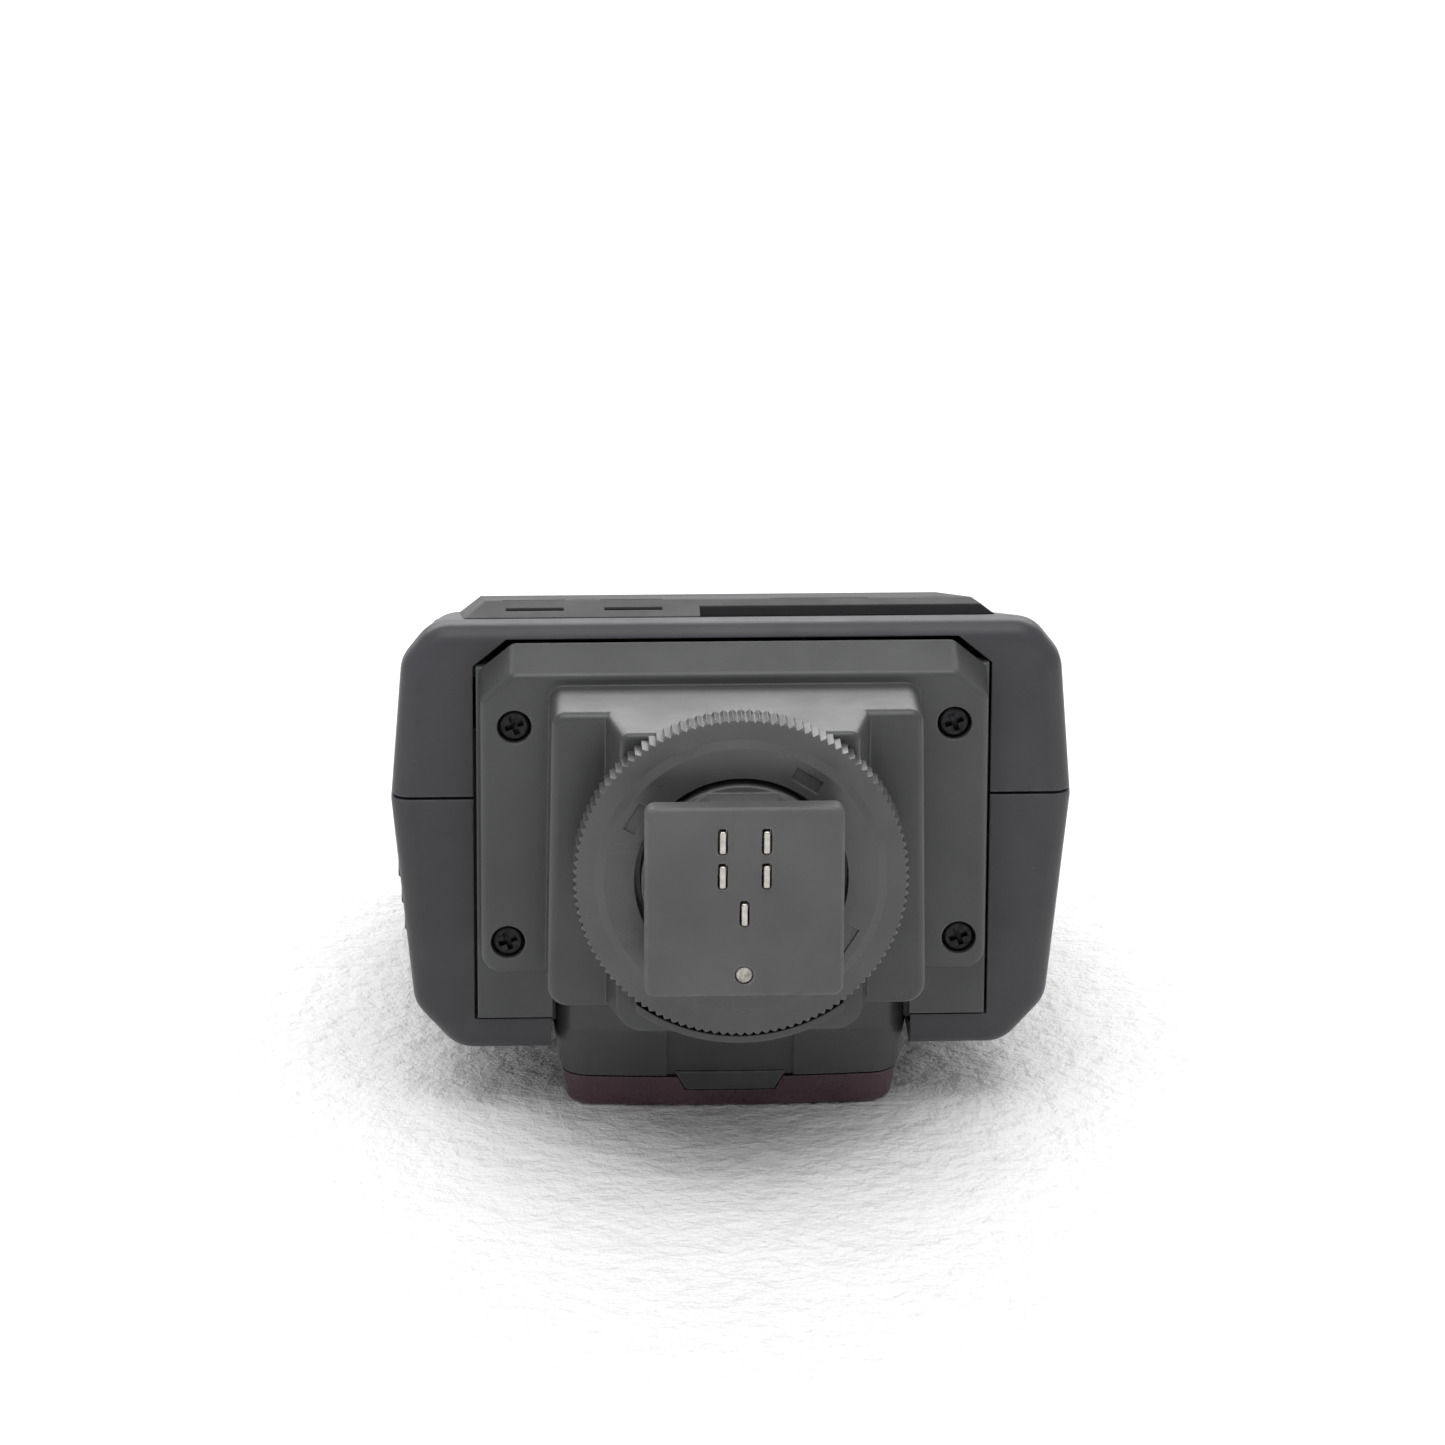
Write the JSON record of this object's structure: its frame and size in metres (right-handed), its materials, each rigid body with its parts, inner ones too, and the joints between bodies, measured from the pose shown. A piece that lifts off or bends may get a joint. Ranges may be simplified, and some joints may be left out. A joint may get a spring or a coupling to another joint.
{
  "type": "speedlight flash",
  "caption": "Compact shoe-mount flash with a fixed head, knurled foot lock ring, spring contacts, hinged battery cover and rear controls, lying on its front.",
  "frame": {"origin": "centre of the bounding box at the table, under the flash as it lies on its front", "axes": "+Y from the shoe foot toward the flash head, +Z out of the rear control panel, +X to the right as seen from the foot"},
  "size_m": [0.0656, 0.092, 0.0498],
  "materials": {
    "black_screw": "blackened steel",
    "board": "green glass-epoxy",
    "button_plastic": "satin dark grey",
    "capacitor_sleeve": "shrunk sleeve",
    "case_plastic": "soft-touch satin black",
    "cell_sleeve": "plain metallic sleeve",
    "clear_window": "ribbed clear acrylic",
    "copper": "enamelled copper wire",
    "ferrite": "ferrite with taped windings",
    "foot_plastic": "fine spark-eroded satin black",
    "inner_plastic": "plain black",
    "lamp_green": "green lens",
    "lamp_red": "red lens",
    "mirror_metal": "bright rolled aluminium",
    "nickel": "nickel plated",
    "panel_plastic": "satin black",
    "plate_plastic": "fine matt black, lightly worn",
    "red_window": "dark red translucent acrylic",
    "ring_plastic": "turned semi-gloss black",
    "rubber": "grey silicone",
    "steel": "plain",
    "tube_glass": "clear quartz"
  },
  "bodies": {
    "flash_body": {"af_housing": "foot_plastic", "af_lamp": "board", "af_window": "red_window", "base_plate": "foot_plastic", "battery_cell_1": "cell_sleeve", "battery_cell_2": "cell_sleeve", "battery_cell_3": "cell_sleeve", "battery_cell_4": "cell_sleeve", "battery_contact_plates": "nickel", "battery_springs": "nickel", "board_posts": "inner_plastic", "board_switches": "inner_plastic", "case_screws": "steel", "contact_carrier": "inner_plastic", "contact_springs": "nickel", "control_board": "board", "control_panel": "panel_plastic", "cover_hinge_pins": "steel", "flash_tube": "tube_glass", "flash_window": "clear_window", "foot_base": "foot_plastic", "foot_plate": "plate_plastic", "foot_screws": "black_screw", "foot_stem": "plate_plastic", "head_front_case": "case_plastic", "inner_chassis": "inner_plastic", "lock_pin_guide": "inner_plastic", "main_board": "board", "main_capacitor": "capacitor_sleeve", "range_plate": "panel_plastic", "ready_lamp": "lamp_red", "rear_case": "case_plastic", "reflector": "mirror_metal", "stem_screws": "steel", "sync_lamp": "lamp_green", "transformer": "ferrite", "trigger_coil": "copper", "tube_caps": "rubber"},
    "ring_carrier": {"ring_washer": "steel"},
    "ring": {"lock_ring": "ring_plastic"},
    "pin": {"lock_pin": "nickel"},
    "cover": {"battery_cover": "case_plastic"},
    "sync_button_cap": {"sync_button": "button_plastic"},
    "test_button_cap": {"test_button": "button_plastic"},
    "switch_knob": {"power_switch_knob": "button_plastic"},
    "contact_pin_centre_blade": {"contact_pin_centre": "nickel"},
    "contact_pin_middle_left_blade": {"contact_pin_middle_left": "nickel"},
    "contact_pin_middle_right_blade": {"contact_pin_middle_right": "nickel"},
    "contact_pin_rear_left_blade": {"contact_pin_rear_left": "nickel"},
    "contact_pin_rear_right_blade": {"contact_pin_rear_right": "nickel"}
  },
  "joints": [
    {"name": "ring_feed", "type": "slide", "parent": "flash_body", "child": "ring_carrier", "axis": [0, -1, 0], "range_m": [0, 0.00201]},
    {"name": "ring_turn", "type": "hinge", "parent": "ring_carrier", "child": "ring", "pos_m": [0, -0.0376, 0.0315], "axis": [0, -1, 0], "range_deg": [0, 360]},
    {"name": "pin_drop", "type": "slide", "parent": "flash_body", "child": "pin", "axis": [0, -1, 0], "range_m": [0, 0.00151]},
    {"name": "cover_hinge", "type": "hinge", "parent": "flash_body", "child": "cover", "pos_m": [0, 0.017, 0.0089], "axis": [1, 0, 0], "range_deg": [0, 85]},
    {"name": "power_slide", "type": "slide", "parent": "flash_body", "child": "switch_knob", "axis": [1, 0, 0], "range_m": [0, 0.004]},
    {"name": "sync_press", "type": "slide", "parent": "flash_body", "child": "sync_button_cap", "axis": [0, -0.2924, -0.9563], "range_m": [0, 0.0005], "stiffness_N_per_m": 400, "springref_m": -0.0005},
    {"name": "test_press", "type": "slide", "parent": "flash_body", "child": "test_button_cap", "axis": [0, -0.2924, -0.9563], "range_m": [0, 0.0005], "stiffness_N_per_m": 400, "springref_m": -0.0005},
    {"name": "contact_press_centre", "type": "slide", "parent": "flash_body", "child": "contact_pin_centre_blade", "axis": [0, 1, 0], "range_m": [0, 0.0005], "stiffness_N_per_m": 600, "springref_m": -0.0004},
    {"name": "contact_press_middle_left", "type": "slide", "parent": "flash_body", "child": "contact_pin_middle_left_blade", "axis": [0, 1, 0], "range_m": [0, 0.0005], "stiffness_N_per_m": 600, "springref_m": -0.0004},
    {"name": "contact_press_middle_right", "type": "slide", "parent": "flash_body", "child": "contact_pin_middle_right_blade", "axis": [0, 1, 0], "range_m": [0, 0.0005], "stiffness_N_per_m": 600, "springref_m": -0.0004},
    {"name": "contact_press_rear_left", "type": "slide", "parent": "flash_body", "child": "contact_pin_rear_left_blade", "axis": [0, 1, 0], "range_m": [0, 0.0005], "stiffness_N_per_m": 600, "springref_m": -0.0004},
    {"name": "contact_press_rear_right", "type": "slide", "parent": "flash_body", "child": "contact_pin_rear_right_blade", "axis": [0, 1, 0], "range_m": [0, 0.0005], "stiffness_N_per_m": 600, "springref_m": -0.0004}
  ],
  "couplings": [
    {"joint": "ring_feed", "follows": "ring_turn", "m_per_rad": 0.00031831},
    {"joint": "pin_drop", "follows": "ring_turn", "m_per_rad": 0.00023873}
  ]
}
